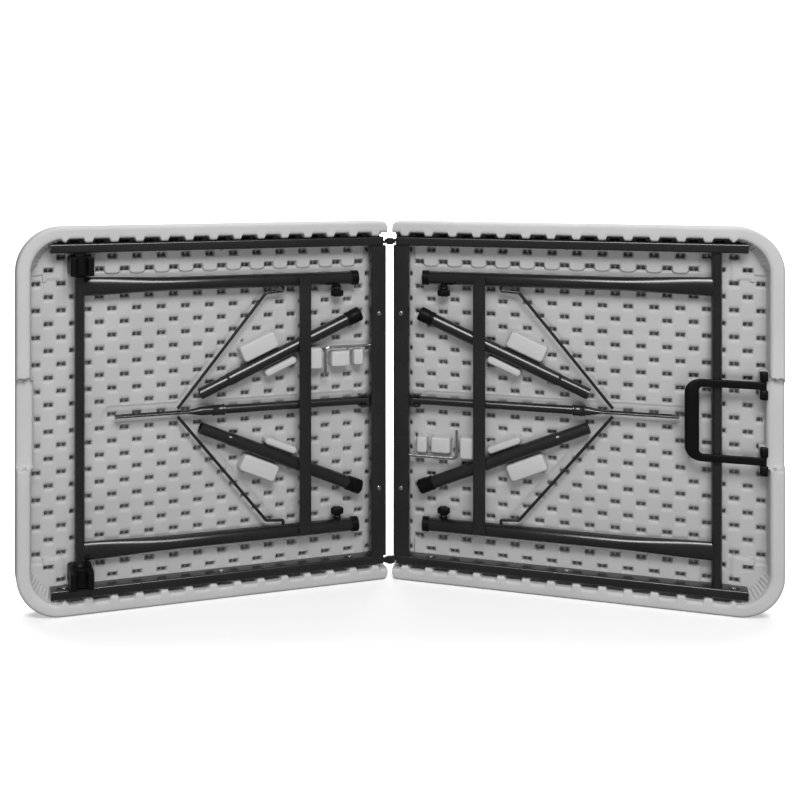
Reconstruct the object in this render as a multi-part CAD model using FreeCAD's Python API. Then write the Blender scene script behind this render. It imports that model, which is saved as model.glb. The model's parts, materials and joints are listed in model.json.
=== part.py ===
"""Folding table with two moulded half tops on a steel frame, in millimetres.

The table stands on one long edge, part folded, with its legs stowed against the underside.
Each half is drawn once, in a flat frame of its own: u runs from the fold line to the outer end,
v from one long edge to the other, and w out of the underside. u = 0, w = 0 is the fold line and
w = 0 the plane where the two rims meet when the table is shut. The left half is the same half
turned end for end, and both halves are then swung to the angle they stand at.
"""

import FreeCAD
import Part

import math
import os

V = FreeCAD.Vector

# ---- the table ----
WIDTH = 600.0               # long edge to long edge
HALF_LENGTH = 610.0         # fold line to outer end
STAND_ANGLE = 16.9          # each half leans this far forward of the flat table
THICKNESS = 45.0            # rim plane to tabletop face
CENTRE = WIDTH / 2

# ---- moulded half top ----
FOLD_GAP = 3.5              # fold line to the moulding
RIM_FACE = -0.5             # the rims stop this far short of each other
FLOOR = -30.0               # floor of the tray on the underside
CORNER_R = 70.0
RIM_SIDE = 15.5
RIM_END = 23.0
TOP_EDGE_R = 8.0
RIM_EDGE_R = 3.0
SILL_WIDTH = 11.0           # low wall under the centre rail
SILL_TOP = -19.2
NOTCH_V = 72.0              # half width of the handle notch in the end rim
LEDGE_V = 82.0              # half width of the ledge inside the notch
LEDGE_INNER_U = 566.0
NOTCH_FLOOR = -11.0

# ---- rails ----
RAIL_OUTER_V = 26.0         # outer wall, from the long edge
RAIL_WIDTH = 14.5
RAIL_FACE = -3.5
RAIL_FOOT = -29.8
RAIL_WALL = 1.8
RAIL_START_U = 14.0
RAIL_END_U = 558.0
CENTRE_RAIL_U = (5.0, 31.5)
CENTRE_RAIL_W = (-19.0, -3.0)
POST_WIDTH = 8.6
POST_LENGTH = 16.0
SCREW_U = (67.0, 287.0, 537.0)
CENTRE_SCREW_V = 146.0      # either side of the centre line
SCREW_R = 2.0
SCREW_HEAD_R = 3.8
SCREW_HEAD = 2.0
SIDE_SCREW_W = -13.0        # side screws go through the rail's inner wall
SIDE_SCREW_LENGTH = 11.0
CENTRE_SCREW_LENGTH = 24.0

# ---- fold pivot ----
EAR_R = 9.0
EAR_THICK = 3.0
EAR_LAP_GAP = 0.4
EAR_END_U = 56.0
EAR_W = (-21.0, -5.4)
EAR_MIDDLE_V = RAIL_OUTER_V + RAIL_WIDTH / 2
RIVET_R = 3.0
RIVET_HEAD_R = 5.5
RIVET_HEAD = 2.0
RUNNING = 0.05              # radial clearance of a pin in its hole

# ---- leg frame ----
TUBE_W = -16.0              # depth of every tube axis
PIVOT_U = 513.0
PIVOT_R = 8.0
PIVOT_INSET_V = 33.0
LEG_V = 206.0               # leg tube axis, either side of the centre line
LEG_R = 11.0
LEG_BORE_R = 9.8
LEG_TIP_U = 53.0
LEG_BORE_END_U = 390.0
FLARE_U = (400.0, 505.0)
FLARE_HALF_V = 14.5
FLARE_HALF_W = 6.5
COLLAR_R = 12.2
COLLAR_LENGTH = 10.0
CROSS_BAR_U = (138.0, 158.0)
CROSS_BAR_W = (-4.95, -1.2)
KNOB_U = 88.0
KNOB_R = 10.5
KNOB_GAP = 9.0
KNOB_THICK = 10.0
KNOB_LOBES = 6
KNOB_SCREW_R = 3.0
WELD_NUT_R = 6.0
WELD_NUT = 4.0

# ---- brace ----
BRACE_PIVOT_U = 42.0
BRACE_R = 7.0
BRACE_BORE_R = 5.8
BRACE_START_U = 38.0
BRACE_NECK_U = (320.0, 342.0)
BRACE_END_U = 458.0
BLADE_HALF_V = 3.0
BLADE_HALF_W = 6.4
SLOT_U = (352.0, 448.0)
SLOT_HALF_W = 3.2
BRACKET_WALL = 2.5
BRACKET_GAP_V = 7.6         # inner face of each bracket ear from the centre line
BRACKET_END_U = 49.0
BRACKET_HALF_W = 8.0
BRACE_PIN_R = 2.5
RING_U = {"left": 291.0, "right": 306.0}
RING_LENGTH = 20.0
RING_BORE_R = 7.4
RING_R = 9.0
WIRE_R = 2.5
WIRE_PIVOT_U = 182.0
WIRE_SHOULDER = (211.0, 188.0)   # u, and v from the centre line
WIRE_TIP = (358.0, 6.4)
WIRE_BEND_R = 12.0

# ---- draw bolt ----
BOLT_R = 2.5
BOLT_V = 208.0
BOLT_W = -12.0
BOLT_START_U = 6.5
BOLT_ARM_U = 110.0
BOLT_ARM = 47.0
BOLT_BEND_R = 7.0

# ---- stored leg extensions ----
EXTENSION_OUTER = (321.0, 27.0)    # u, and v from the centre line
EXTENSION_INNER = (47.0, 146.0)
EXTENSION_W = -17.0
EXTENSION_R = 10.5
EXTENSION_WALL = 1.2
SWAGE_R = 9.4
SWAGE_LENGTH = 48.0
FOOT_R = 12.2
FOOT_LENGTH = 26.0
FOOT_BASE = 4.0

# ---- moulded blocks on the tray floor ----
BLOCK_TOP = -9.0
BIG_BLOCK = (118.0, 66.0, 12.0, 42.0)     # along the tube, length, nearest and furthest side
SLIM_BLOCK = (138.0, 60.0, -26.0, -12.0)
BOLT_BLOCKS = ((114.0, 139.0, 207.0, 239.0), (68.0, 99.0, 215.0, 237.0), (43.0, 61.0, 215.0, 237.0))
BLOCK_R = 4.0

# ---- latch clips, on the left half ----
CLIP_V = (226.0, 254.0)     # from the centre line
CLIP_HALF_U = 18.0
CLIP_TOP = 24.0
CLIP_SLOT = 8.6

# ---- carry handle, on the right half ----
HANDLE_PIVOT_U = 580.0
HANDLE_PIVOT_W = -5.4
HANDLE_BAR_R = 3.8
HANDLE_BAR = 42.0
HANDLE_ARM_V = 58.0
HANDLE_ARM_WIDTH = 12.0
HANDLE_ARM_W = (-7.2, -1.2)
HANDLE_GRIP_U = 476.0
HANDLE_GRIP_HALF_U = 10.7
HANDLE_GRIP_HALF_W = 6.4
HANDLE_CORNER_R = 16.0
SADDLE_V = 7.0
SADDLE_U = 13.0
SADDLE_TOP = -0.8
SADDLE_OFFSET = 14.0        # from the arm's centre line to the saddle's centre


# ---- helpers in the flat frame of one half ----

def point(u, v, w):
    return V(u, -w, v)


def box(u0, u1, v0, v1, w0, w1):
    return Part.makeBox(u1 - u0, w1 - w0, v1 - v0, V(u0, -w1, v0))


def rod(start, end, radius):
    a, b = point(*start), point(*end)
    return Part.makeCylinder(radius, (b - a).Length, a, b - a)


def tube(start, end, radius, bore):
    return rod(start, end, radius).cut(rod(start, end, bore))


def mirrored(shape):
    """The same piece on the other side of the centre line."""
    return shape.mirror(V(0, 0, CENTRE), V(0, 0, 1))


def rounded_outline(u0, u1, v0, v1, radius, w):
    """A closed wire with square corners at u0 and round ones at u1."""
    mid = radius * (1 - math.cos(math.radians(45)))
    edges = [
        Part.LineSegment(point(u0, v0, w), point(u1 - radius, v0, w)),
        Part.Arc(point(u1 - radius, v0, w), point(u1 - mid, v0 + mid, w), point(u1, v0 + radius, w)),
        Part.LineSegment(point(u1, v0 + radius, w), point(u1, v1 - radius, w)),
        Part.Arc(point(u1, v1 - radius, w), point(u1 - mid, v1 - mid, w), point(u1 - radius, v1, w)),
        Part.LineSegment(point(u1 - radius, v1, w), point(u0, v1, w)),
        Part.LineSegment(point(u0, v1, w), point(u0, v0, w)),
    ]
    return Part.Wire([edge.toShape() for edge in edges])


def slab(outline, depth):
    return Part.Face(outline).extrude(V(0, depth, 0))


def edges_at(shape, w, keep=lambda middle: True):
    """The edges lying wholly in the plane at height w."""
    found = []
    for edge in shape.Edges:
        span = edge.BoundBox
        if abs(span.YMin + w) < 0.01 and abs(span.YMax + w) < 0.01 and keep(span.Center):
            found.append(edge)
    return found


def bent_rod(points, radius, bend):
    """A round rod along straight runs joined by tangent arcs."""
    corners = [point(*p) for p in points]
    edges = []
    start = corners[0]
    for before, corner, after in zip(corners, corners[1:], corners[2:]):
        back = (before - corner).normalize()
        onward = (after - corner).normalize()
        half = back.getAngle(onward) / 2
        reach = bend / math.tan(half)
        a = corner + back * reach
        b = corner + onward * reach
        bisector = (back + onward).normalize()
        middle = corner + bisector * (bend / math.sin(half) - bend)
        edges.append(Part.LineSegment(start, a).toShape())
        edges.append(Part.Arc(a, middle, b).toShape())
        start = b
    edges.append(Part.LineSegment(start, corners[-1]).toShape())
    path = Part.Wire(edges)
    ring = Part.Wire(Part.Circle(corners[0], corners[1] - corners[0], radius).toShape())
    return path.makePipeShell([ring], True, True)


# ---- moulded half top ----

def tray():
    """The half top with its rim, its floor and its round outer corners."""
    outline = rounded_outline(FOLD_GAP, HALF_LENGTH, 0, WIDTH, CORNER_R, RIM_FACE)
    body = slab(outline, THICKNESS + RIM_FACE)
    body = body.makeFillet(TOP_EDGE_R, edges_at(body, -THICKNESS, lambda c: c.x > FOLD_GAP + 1))
    body = body.makeFillet(RIM_EDGE_R, edges_at(body, RIM_FACE, lambda c: c.x > FOLD_GAP + 1))
    inner = rounded_outline(
        FOLD_GAP - 1, HALF_LENGTH - RIM_END, RIM_SIDE, WIDTH - RIM_SIDE, CORNER_R - RIM_SIDE, 1.0
    )
    return body.cut(slab(inner, 1.0 - FLOOR))


def rail_posts():
    """Posts on the tray floor that the rail screws bite into."""
    posts = []
    for u in SCREW_U:
        posts.append(
            box(u - POST_LENGTH / 2, u + POST_LENGTH / 2, EAR_MIDDLE_V - POST_WIDTH / 2,
                EAR_MIDDLE_V + POST_WIDTH / 2, FLOOR - 1, RAIL_FACE - RAIL_WALL)
        )
    middle_u = sum(CENTRE_RAIL_U) / 2
    low = CENTRE - CENTRE_SCREW_V
    posts.append(
        box(FOLD_GAP + SILL_WIDTH - 1, middle_u + POST_LENGTH / 2, low - POST_LENGTH / 2,
            low + POST_LENGTH / 2, FLOOR - 1, SILL_TOP)
    )
    return posts + [mirrored(post) for post in posts]


def extension_frame():
    """Start, direction and sideways direction of a stored extension, as u, v pairs."""
    du = EXTENSION_INNER[0] - EXTENSION_OUTER[0]
    dv = EXTENSION_INNER[1] - EXTENSION_OUTER[1]
    length = math.hypot(du, dv)
    along = (du / length, dv / length)
    return length, along, (along[1], -along[0])


def extension_point(distance, side=0.0):
    """A point beside a stored extension, measured from its outer end."""
    _, along, across = extension_frame()
    u = EXTENSION_OUTER[0] + along[0] * distance + across[0] * side
    v = CENTRE + EXTENSION_OUTER[1] + along[1] * distance + across[1] * side
    return u, v


def block_between(corners):
    """A moulded block over four u, v corners, standing on the tray floor."""
    wire = Part.makePolygon([point(u, v, BLOCK_TOP) for u, v in corners + corners[:1]])
    block = slab(wire, BLOCK_TOP - FLOOR + 1)
    top = edges_at(block, BLOCK_TOP)
    sides = [e for e in block.Edges if e.BoundBox.YLength > BLOCK_TOP - FLOOR]
    return block.makeFillet(BLOCK_R, sides + top)


def extension_blocks():
    blocks = []
    for middle, length, near, far in (BIG_BLOCK, SLIM_BLOCK):
        low, high = middle - length / 2, middle + length / 2
        corners = [extension_point(low, near), extension_point(high, near),
                   extension_point(high, far), extension_point(low, far)]
        blocks.append(block_between(corners))
    return blocks + [mirrored(block) for block in blocks]


def bolt_blocks():
    return [
        block_between([(u0, v0), (u1, v0), (u1, v1), (u0, v1)])
        for u0, u1, v0, v1 in BOLT_BLOCKS
    ]


def screw_places():
    """Each rail screw: the point under its head, the way its head points, and its length."""
    inner_wall = RAIL_OUTER_V + RAIL_WIDTH
    places = []
    for u in SCREW_U:
        places.append(((u, inner_wall, SIDE_SCREW_W), (0, 1, 0), SIDE_SCREW_LENGTH))
        places.append(((u, WIDTH - inner_wall, SIDE_SCREW_W), (0, -1, 0), SIDE_SCREW_LENGTH))
    for side in (-1, 1):
        place = (sum(CENTRE_RAIL_U) / 2, CENTRE + side * CENTRE_SCREW_V, CENTRE_RAIL_W[1])
        places.append((place, (0, 0, 1), CENTRE_SCREW_LENGTH))
    return places


def beyond(place, direction, distance):
    """The point at a distance from a place along a direction."""
    return tuple(p + d * distance for p, d in zip(place, direction))


def screw_holes():
    return [
        rod(beyond(place, out, -length - 1), beyond(place, out, 1), SCREW_R + RUNNING)
        for place, out, length in screw_places()
    ]


def top_panel():
    sill = box(FOLD_GAP, FOLD_GAP + SILL_WIDTH, EAR_MIDDLE_V + 12, WIDTH - EAR_MIDDLE_V - 12,
               FLOOR - 1, SILL_TOP)
    ledge = box(LEDGE_INNER_U, HALF_LENGTH - RIM_END + 1, CENTRE - LEDGE_V, CENTRE + LEDGE_V,
                FLOOR - 1, NOTCH_FLOOR)
    notch = box(LEDGE_INNER_U - 1, HALF_LENGTH + 1, CENTRE - NOTCH_V, CENTRE + NOTCH_V,
                NOTCH_FLOOR, 1)
    panel = tray().fuse([sill, ledge] + rail_posts() + extension_blocks() + bolt_blocks())
    return panel.cut([notch] + screw_holes()).removeSplitter()


# ---- rails and fold pivot ----

def side_rail():
    """A channel, open towards the tray floor, that carries the end of the pivot tube."""
    v0, v1 = RAIL_OUTER_V, RAIL_OUTER_V + RAIL_WIDTH
    channel = box(RAIL_START_U, RAIL_END_U, v0, v1, RAIL_FOOT, RAIL_FACE)
    hollow = box(RAIL_START_U - 1, RAIL_END_U + 1, v0 + RAIL_WALL, v1 - RAIL_WALL,
                 RAIL_FOOT - 1, RAIL_FACE - RAIL_WALL)
    bearing = rod((PIVOT_U, v1 - RAIL_WALL - 1, TUBE_W), (PIVOT_U, v1 + 1, TUBE_W), PIVOT_R + RUNNING)
    return channel.cut([hollow, bearing] + screw_holes())


def fold_ear(middle_v):
    """A plate in the rail that reaches the fold line, lapped beside the other half's ear."""
    v0 = middle_v + EAR_LAP_GAP / 2
    lean = math.atan2(-EAR_W[0], RAIL_START_U)
    touch = math.acos(EAR_R / math.hypot(RAIL_START_U, EAR_W[0]))
    low = -lean - touch
    rise = math.atan2(-EAR_W[1], RAIL_START_U)
    high = -rise + math.acos(EAR_R / math.hypot(RAIL_START_U, EAR_W[1]))
    low_touch = point(EAR_R * math.cos(low), v0, EAR_R * math.sin(low))
    high_touch = point(EAR_R * math.cos(high), v0, EAR_R * math.sin(high))
    edges = [
        Part.Arc(low_touch, point(-EAR_R, v0, 0), high_touch).toShape(),
        Part.makeLine(high_touch, point(RAIL_START_U, v0, EAR_W[1])),
        Part.makeLine(point(RAIL_START_U, v0, EAR_W[1]), point(EAR_END_U, v0, EAR_W[1])),
        Part.makeLine(point(EAR_END_U, v0, EAR_W[1]), point(EAR_END_U, v0, EAR_W[0])),
        Part.makeLine(point(EAR_END_U, v0, EAR_W[0]), point(RAIL_START_U, v0, EAR_W[0])),
        Part.makeLine(point(RAIL_START_U, v0, EAR_W[0]), low_touch),
    ]
    plate = Part.Face(Part.Wire(edges)).extrude(V(0, 0, EAR_THICK))
    return plate.cut(rod((0, v0 - 1, 0), (0, v0 + EAR_THICK + 1, 0), RIVET_R + RUNNING))


def fold_rivets():
    """One pin with two heads through each pair of lapped ears."""
    reach = EAR_LAP_GAP / 2 + EAR_THICK + RUNNING
    rivets = []
    for v in (EAR_MIDDLE_V, WIDTH - EAR_MIDDLE_V):
        pin = rod((0, v - reach, 0), (0, v + reach, 0), RIVET_R)
        heads = [
            rod((0, v + side * reach, 0), (0, v + side * (reach + RIVET_HEAD), 0), RIVET_HEAD_R)
            for side in (-1, 1)
        ]
        rivets.append(pin.fuse(heads))
    return Part.makeCompound(rivets)


def centre_rail():
    """A box rail along the fold, between the two side rails."""
    u0, u1 = CENTRE_RAIL_U
    w0, w1 = CENTRE_RAIL_W
    v0 = RAIL_OUTER_V + RAIL_WIDTH
    rail = box(u0, u1, v0, WIDTH - v0, w0, w1)
    hollow = box(u0 + RAIL_WALL, u1 - RAIL_WALL, v0 - 1, WIDTH - v0 + 1, w0 + RAIL_WALL, w1 - RAIL_WALL)
    guides = [
        rod((u0 - 1, v, BOLT_W), (u1 + 1, v, BOLT_W), BOLT_R + RUNNING)
        for v in (BOLT_V, WIDTH - BOLT_V)
    ]
    return rail.cut([hollow] + guides + screw_holes())


def rail_screws():
    screws = []
    for place, out, length in screw_places():
        top = beyond(place, out, SCREW_HEAD)
        shank = rod(beyond(place, out, -length), place, SCREW_R)
        head = rod(place, top, SCREW_HEAD_R)
        dome = [edge for edge in head.Edges if (edge.CenterOfMass - point(*top)).Length < 0.01]
        screws.append(shank.fuse(head.makeFillet(SCREW_HEAD * 0.6, dome)))
    return Part.makeCompound(screws)


# ---- leg frame ----

def pivot_tube():
    ends = ((PIVOT_U, PIVOT_INSET_V, TUBE_W), (PIVOT_U, WIDTH - PIVOT_INSET_V, TUBE_W))
    return tube(*ends, PIVOT_R, PIVOT_R - RAIL_WALL)


def leg_tube():
    """A round tube pressed flat and wide where it is welded to the pivot tube."""
    v = CENTRE + LEG_V
    straight = rod((LEG_TIP_U, v, TUBE_W), (FLARE_U[0], v, TUBE_W), LEG_R)
    round_end = Part.Wire(Part.Circle(point(FLARE_U[0], v, TUBE_W), V(1, 0, 0), LEG_R).toShape())
    oval = Part.Ellipse(V(0, 0, 0), FLARE_HALF_V, FLARE_HALF_W).toShape()
    oval.rotate(V(0, 0, 0), V(0, 1, 0), 90)
    oval.translate(point(PIVOT_U, v, TUBE_W))
    flare = Part.makeLoft([round_end, Part.Wire(oval)], True, True)
    leg = straight.fuse(flare)
    bore = rod((LEG_TIP_U - 1, v, TUBE_W), (LEG_BORE_END_U, v, TUBE_W), LEG_BORE_R)
    pivot = rod((PIVOT_U, v - 40, TUBE_W), (PIVOT_U, v + 40, TUBE_W), PIVOT_R)
    outside = box(PIVOT_U, PIVOT_U + 10, v - 40, v + 40, -40, 10)
    wire_hole = rod((WIRE_PIVOT_U, v - LEG_R - 1, TUBE_W), (WIRE_PIVOT_U, v, TUBE_W), WIRE_R + RUNNING)
    screw_hole = rod((KNOB_U, v - LEG_R - 1, TUBE_W), (KNOB_U, v, TUBE_W), KNOB_SCREW_R + RUNNING)
    return leg.cut([bore, pivot, outside, wire_hole, screw_hole])


def leg_collars():
    """The ring round each leg's open end, and the nut its thumb screw runs in."""
    v = CENTRE + LEG_V
    ring = tube((LEG_TIP_U, v, TUBE_W), (LEG_TIP_U + COLLAR_LENGTH, v, TUBE_W), COLLAR_R, LEG_R)
    nut = tube((KNOB_U, v - LEG_R - WELD_NUT, TUBE_W), (KNOB_U, v - LEG_R + 2, TUBE_W),
               WELD_NUT_R, KNOB_SCREW_R + RUNNING)
    nut = nut.cut(rod((KNOB_U - 20, v, TUBE_W), (KNOB_U + 20, v, TUBE_W), LEG_R))
    return Part.makeCompound([ring, nut, mirrored(ring), mirrored(nut)])


def cross_bar():
    return box(*CROSS_BAR_U, CENTRE - LEG_V, CENTRE + LEG_V, *CROSS_BAR_W)


def thumb_screw():
    """A lobed knob on a short screw, pointing from the leg to the centre line."""
    v = CENTRE + LEG_V - LEG_R
    face = v - KNOB_GAP
    knob = rod((KNOB_U, face, TUBE_W), (KNOB_U, face - KNOB_THICK, TUBE_W), KNOB_R)
    scallops = []
    for i in range(KNOB_LOBES):
        angle = 2 * math.pi * (i + 0.5) / KNOB_LOBES
        u = KNOB_U + (KNOB_R + 2.6) * math.cos(angle)
        w = TUBE_W + (KNOB_R + 2.6) * math.sin(angle)
        scallops.append(rod((u, face + 1, w), (u, face - KNOB_THICK - 1, w), 4.0))
    hub = rod((KNOB_U, face + 2.5, TUBE_W), (KNOB_U, face, TUBE_W), KNOB_R * 0.55)
    screw = rod((KNOB_U, face, TUBE_W), (KNOB_U, v + 0.8, TUBE_W), KNOB_SCREW_R)
    return knob.cut(scallops).fuse([hub, screw])


# ---- brace ----

def brace_tube():
    """A round tube whose outer part is pressed into a slotted blade on edge."""
    start = (BRACE_START_U, CENTRE, TUBE_W)
    neck = (BRACE_NECK_U[0], CENTRE, TUBE_W)
    body = rod(start, neck, BRACE_R)
    ring = Part.Wire(Part.Circle(point(*neck), V(1, 0, 0), BRACE_R).toShape())
    near_oval = blade_outline(BRACE_NECK_U[1])
    neck_part = Part.makeLoft([ring, near_oval], True, True)
    blade = Part.makeLoft([near_oval, blade_outline(BRACE_END_U)], True, True)
    bore = rod((BRACE_START_U - 1, CENTRE, TUBE_W), (BRACE_NECK_U[0] - 12, CENTRE, TUBE_W), BRACE_BORE_R)
    slot = box(*SLOT_U, CENTRE - 10, CENTRE + 10, TUBE_W - SLOT_HALF_W, TUBE_W + SLOT_HALF_W)
    pin = rod((BRACE_PIVOT_U, CENTRE - 10, TUBE_W), (BRACE_PIVOT_U, CENTRE + 10, TUBE_W),
              BRACE_PIN_R + RUNNING)
    return body.fuse([neck_part, blade]).cut([bore, slot, pin])


def blade_outline(u):
    """The blade's oval section at u, standing on edge."""
    oval = Part.Ellipse(V(0, 0, 0), BLADE_HALF_W, BLADE_HALF_V).toShape()
    oval.rotate(V(0, 0, 0), V(0, 0, 1), 90)
    oval.rotate(V(0, 0, 0), V(0, 1, 0), 90)
    oval.translate(point(u, CENTRE, TUBE_W))
    return Part.Wire(oval)


def brace_bracket():
    """A fork on the centre rail that holds the brace's pin."""
    u0 = CENTRE_RAIL_U[1]
    low, high = max(TUBE_W - BRACKET_HALF_W, FLOOR + 1), TUBE_W + BRACKET_HALF_W
    ears = []
    for side in (-1, 1):
        near = CENTRE + side * BRACKET_GAP_V
        far = near + side * BRACKET_WALL
        ears.append(box(u0, BRACKET_END_U, min(near, far), max(near, far), low, high))
    hole = rod((BRACE_PIVOT_U, CENTRE - 20, TUBE_W), (BRACE_PIVOT_U, CENTRE + 20, TUBE_W), BRACE_PIN_R)
    return Part.makeCompound([ear.cut(hole) for ear in ears])


def brace_pin():
    reach = BRACKET_GAP_V + BRACKET_WALL
    pin = rod((BRACE_PIVOT_U, CENTRE - reach, TUBE_W), (BRACE_PIVOT_U, CENTRE + reach, TUBE_W), BRACE_PIN_R)
    heads = [
        rod((BRACE_PIVOT_U, CENTRE + side * reach, TUBE_W),
            (BRACE_PIVOT_U, CENTRE + side * (reach + 1.8), TUBE_W), BRACE_PIN_R + 1.8)
        for side in (-1, 1)
    ]
    return pin.fuse(heads)


def lock_ring(side):
    start = RING_U[side] - RING_LENGTH / 2
    return tube((start, CENTRE, TUBE_W), (start + RING_LENGTH, CENTRE, TUBE_W), RING_R, RING_BORE_R)


def brace_wire():
    """A bent wire from the leg tube to the side of the brace's blade."""
    leg_face = CENTRE + LEG_V - LEG_R
    route = [
        (WIRE_PIVOT_U, leg_face + 0.9, TUBE_W),
        (WIRE_PIVOT_U, CENTRE + WIRE_SHOULDER[1], TUBE_W),
        (WIRE_SHOULDER[0], CENTRE + WIRE_SHOULDER[1] - 2, TUBE_W),
        (WIRE_TIP[0], CENTRE + WIRE_TIP[1], TUBE_W),
    ]
    return bent_rod(route, WIRE_R, WIRE_R + 0.6)


# ---- draw bolt, extensions, clips and handle ----

def draw_bolt():
    """A wire bolt through the centre rail with a turned-up arm to push it by."""
    route = [
        (BOLT_START_U, BOLT_V, BOLT_W),
        (BOLT_ARM_U, BOLT_V, BOLT_W),
        (BOLT_ARM_U, BOLT_V + BOLT_ARM, BOLT_W),
    ]
    return bent_rod(route, BOLT_R, BOLT_BEND_R)


def extension_tube():
    """A leg extension: a tube with a narrowed end that fits the leg's bore."""
    length = extension_frame()[0]
    places = [
        (*extension_point(distance), EXTENSION_W)
        for distance in (0, SWAGE_LENGTH, SWAGE_LENGTH + 5, length - FOOT_BASE)
    ]
    narrow = rod(places[0], places[1], SWAGE_R)
    a, b = point(*places[1]), point(*places[2])
    step = Part.makeCone(SWAGE_R, EXTENSION_R, (b - a).Length, a, b - a)
    wide = rod(places[2], places[3], EXTENSION_R)
    mouth = (*extension_point(-1), EXTENSION_W)
    bore = rod(mouth, places[3], SWAGE_R - EXTENSION_WALL)
    return narrow.fuse([step, wide]).cut(bore)


def foot_cap():
    """A moulded foot over the lower end of an extension."""
    length = extension_frame()[0]
    start, seat, end = [
        (*extension_point(distance), EXTENSION_W)
        for distance in (length - FOOT_LENGTH, length - FOOT_BASE, length)
    ]
    return rod(start, end, FOOT_R).cut(rod(start, seat, EXTENSION_R))


def latch_clip():
    """A clip round the pivot tube whose jaw takes the other half's pivot tube when shut."""
    v0, v1 = CENTRE + CLIP_V[0], CENTRE + CLIP_V[1]
    body = box(PIVOT_U - CLIP_HALF_U, PIVOT_U + CLIP_HALF_U, v0, v1, FLOOR, CLIP_TOP)
    corners = [e for e in body.Edges if e.BoundBox.ZLength > 1 and e.BoundBox.YMin < 0]
    body = body.makeFillet(3.0, corners)
    bearing = rod((PIVOT_U, v0 - 1, TUBE_W), (PIVOT_U, v1 + 1, TUBE_W), PIVOT_R + RUNNING)
    seat = rod((PIVOT_U, v0 - 1, -TUBE_W), (PIVOT_U, v1 + 1, -TUBE_W), CLIP_SLOT)
    throat = box(PIVOT_U - CLIP_SLOT, PIVOT_U + CLIP_SLOT, v0 - 1, v1 + 1, -TUBE_W, CLIP_TOP + 1)
    return body.cut([bearing, seat, throat])


def handle_profile(u, v, w):
    """The rounded strip that the handle is made of, as a wire across a run along u."""
    half_v = HANDLE_ARM_WIDTH / 2
    half_w = (HANDLE_ARM_W[1] - HANDLE_ARM_W[0]) / 2
    strip = Part.makePlane(2 * half_v, 2 * half_w, V(0, 0, 0))
    strip.translate(V(-half_v, -half_w, 0))
    strip.rotate(V(0, 0, 0), V(0, 1, 0), 90)
    strip.translate(point(u, v, w))
    return strip.OuterWire


def carry_handle():
    """A U of flat strip with an oval grip, ending in a cross pin on each arm."""
    w = sum(HANDLE_ARM_W) / 2
    r = HANDLE_CORNER_R
    mid = r * (1 - math.cos(math.radians(45)))
    low, high = CENTRE - HANDLE_ARM_V, CENTRE + HANDLE_ARM_V
    grip_u = HANDLE_GRIP_U
    end_u = HANDLE_PIVOT_U
    path = Part.Wire([
        Part.makeLine(point(end_u, low, w), point(grip_u + r, low, w)),
        Part.Arc(point(grip_u + r, low, w), point(grip_u + mid, low + mid, w),
                 point(grip_u, low + r, w)).toShape(),
        Part.makeLine(point(grip_u, low + r, w), point(grip_u, high - r, w)),
        Part.Arc(point(grip_u, high - r, w), point(grip_u + mid, high - mid, w),
                 point(grip_u + r, high, w)).toShape(),
        Part.makeLine(point(grip_u + r, high, w), point(end_u, high, w)),
    ])
    strip = path.makePipeShell([handle_profile(end_u, low, w)], True, True)
    oval = Part.Ellipse(V(0, 0, 0), HANDLE_GRIP_HALF_U, HANDLE_GRIP_HALF_W).toShape()
    oval.translate(point(grip_u, low + r / 2, w))
    grip = Part.Face(Part.Wire(oval)).extrude(V(0, 0, high - low - r))
    pins = [
        rod((end_u, v - HANDLE_BAR / 2, HANDLE_PIVOT_W), (end_u, v + HANDLE_BAR / 2, HANDLE_PIVOT_W),
            HANDLE_BAR_R)
        for v in (low, high)
    ]
    return strip.fuse([grip] + pins)


def handle_saddles():
    """Four bearings on the end rim's notch that hold the handle's cross pins."""
    saddles = []
    for arm in (-HANDLE_ARM_V, HANDLE_ARM_V):
        for offset in (-SADDLE_OFFSET, SADDLE_OFFSET):
            v = CENTRE + arm + offset
            block = box(HANDLE_PIVOT_U - SADDLE_U / 2, HANDLE_PIVOT_U + SADDLE_U / 2,
                        v - SADDLE_V / 2, v + SADDLE_V / 2, NOTCH_FLOOR, SADDLE_TOP)
            bearing = rod((HANDLE_PIVOT_U, v - SADDLE_V, HANDLE_PIVOT_W),
                          (HANDLE_PIVOT_U, v + SADDLE_V, HANDLE_PIVOT_W), HANDLE_BAR_R + RUNNING)
            saddles.append(block.cut(bearing))
    return Part.makeCompound(saddles)


# ---- assembly ----

def half_pieces(side):
    """Every piece of one half, by name, in its flat frame. The left half is turned end for end."""
    upper, lower = ("lower", "upper") if side == "left" else ("upper", "lower")
    pieces = {
        "top_panel": top_panel(),
        "centre_rail": centre_rail(),
        "rail_screws": rail_screws(),
        "fold_ears": Part.makeCompound([fold_ear(v) for v in (EAR_MIDDLE_V, WIDTH - EAR_MIDDLE_V)]),
        "pivot_tube": pivot_tube(),
        "cross_bar": cross_bar(),
        "leg_collars": leg_collars(),
        "brace_tube": brace_tube(),
        "brace_bracket": brace_bracket(),
        "brace_pin": brace_pin(),
        "lock_ring": lock_ring(side),
        "draw_bolt": draw_bolt(),
    }
    pairs = {
        "side_rail": mirrored(side_rail()),
        "leg_tube": leg_tube(),
        "thumb_screw": thumb_screw(),
        "brace_wire": brace_wire(),
        "extension_tube": extension_tube(),
        "foot_cap": foot_cap(),
    }
    for name, shape in pairs.items():
        pieces[f"{name}_{upper}"] = shape
        pieces[f"{name}_{lower}"] = mirrored(shape)
    return pieces


def turned(shape):
    """Turns a piece end for end, as the left half is to the right one."""
    return shape.rotated(V(0, 0, CENTRE), V(0, 1, 0), 180)


def placed(shape, side):
    """A piece of the flat half, where that half stands."""
    if side == "left":
        return turned(shape).rotated(V(0, 0, 0), V(0, 0, 1), STAND_ANGLE)
    return shape.rotated(V(0, 0, 0), V(0, 0, 1), -STAND_ANGLE)


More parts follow.
